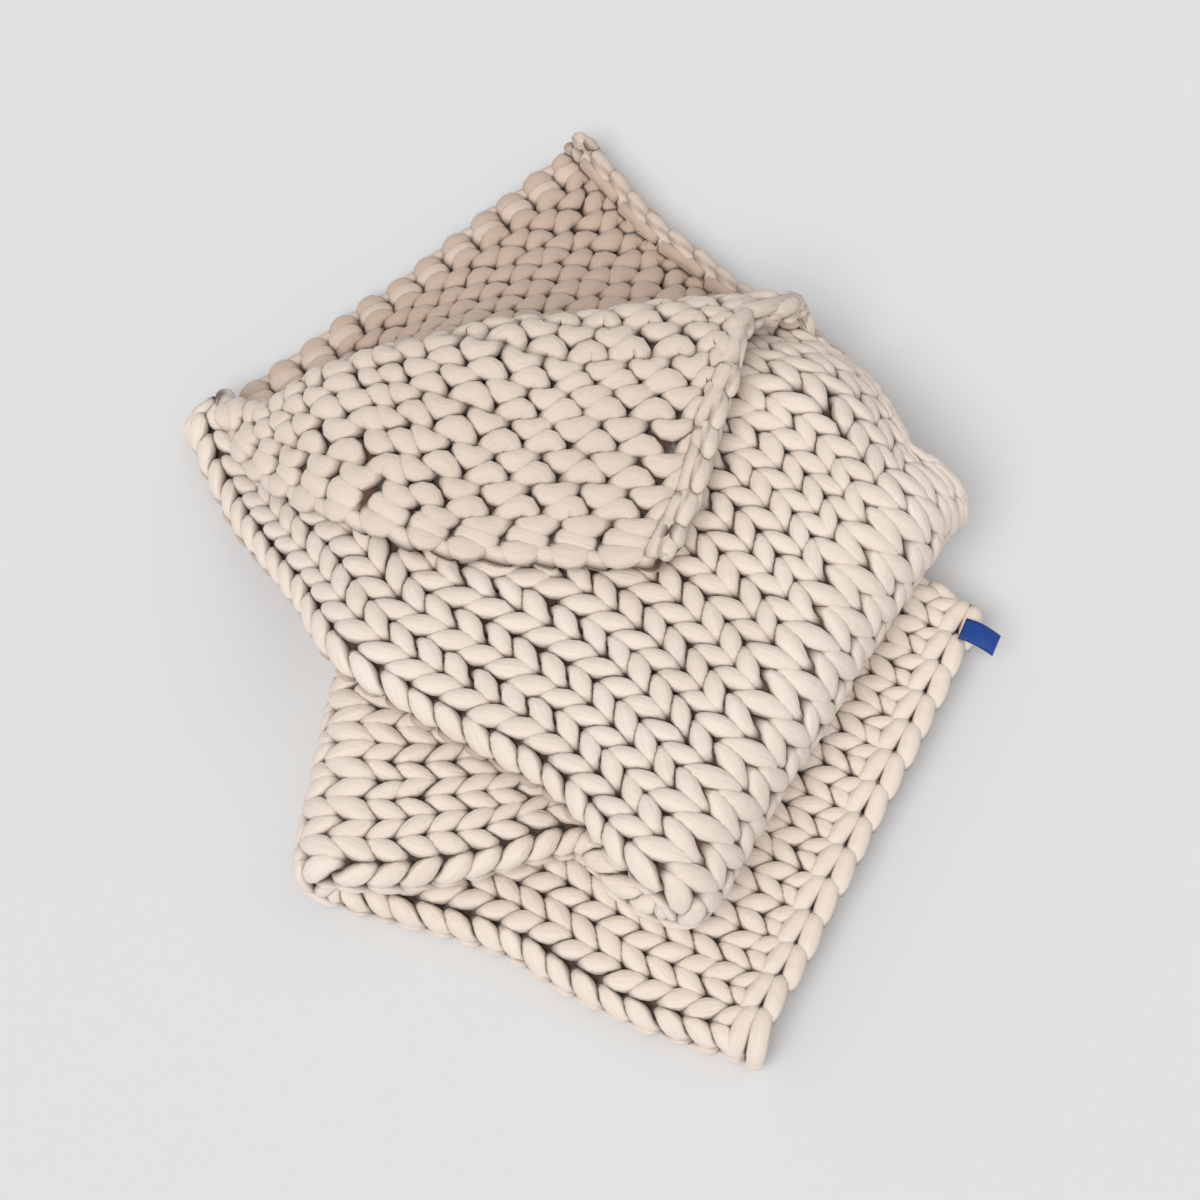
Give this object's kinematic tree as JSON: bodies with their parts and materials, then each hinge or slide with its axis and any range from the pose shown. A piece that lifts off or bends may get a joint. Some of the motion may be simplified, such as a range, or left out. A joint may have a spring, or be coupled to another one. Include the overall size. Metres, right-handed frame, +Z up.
{
  "type": "weighted blanket",
  "caption": "Chunky hand-knitted weighted blanket lying folded and loosely zigzagged in a heap, with one corner turned back over the top and a small label tab.",
  "frame": {"origin": "on the floor, under the middle of the heap's bounding box in X and Y", "axes": "+Z up from the floor; -Y towards the viewer; +X towards the cast-off edge with the label"},
  "size_m": [0.8393, 1.0488, 0.2536],
  "materials": {
    "beige_cotton_knit": "soft matte cotton jersey tube yarn, warm beige",
    "blue_woven_tape": "matte deep blue woven tape"
  },
  "bodies": {
    "root": {"knit_blanket": "beige_cotton_knit", "label": "blue_woven_tape"}
  },
  "joints": []
}
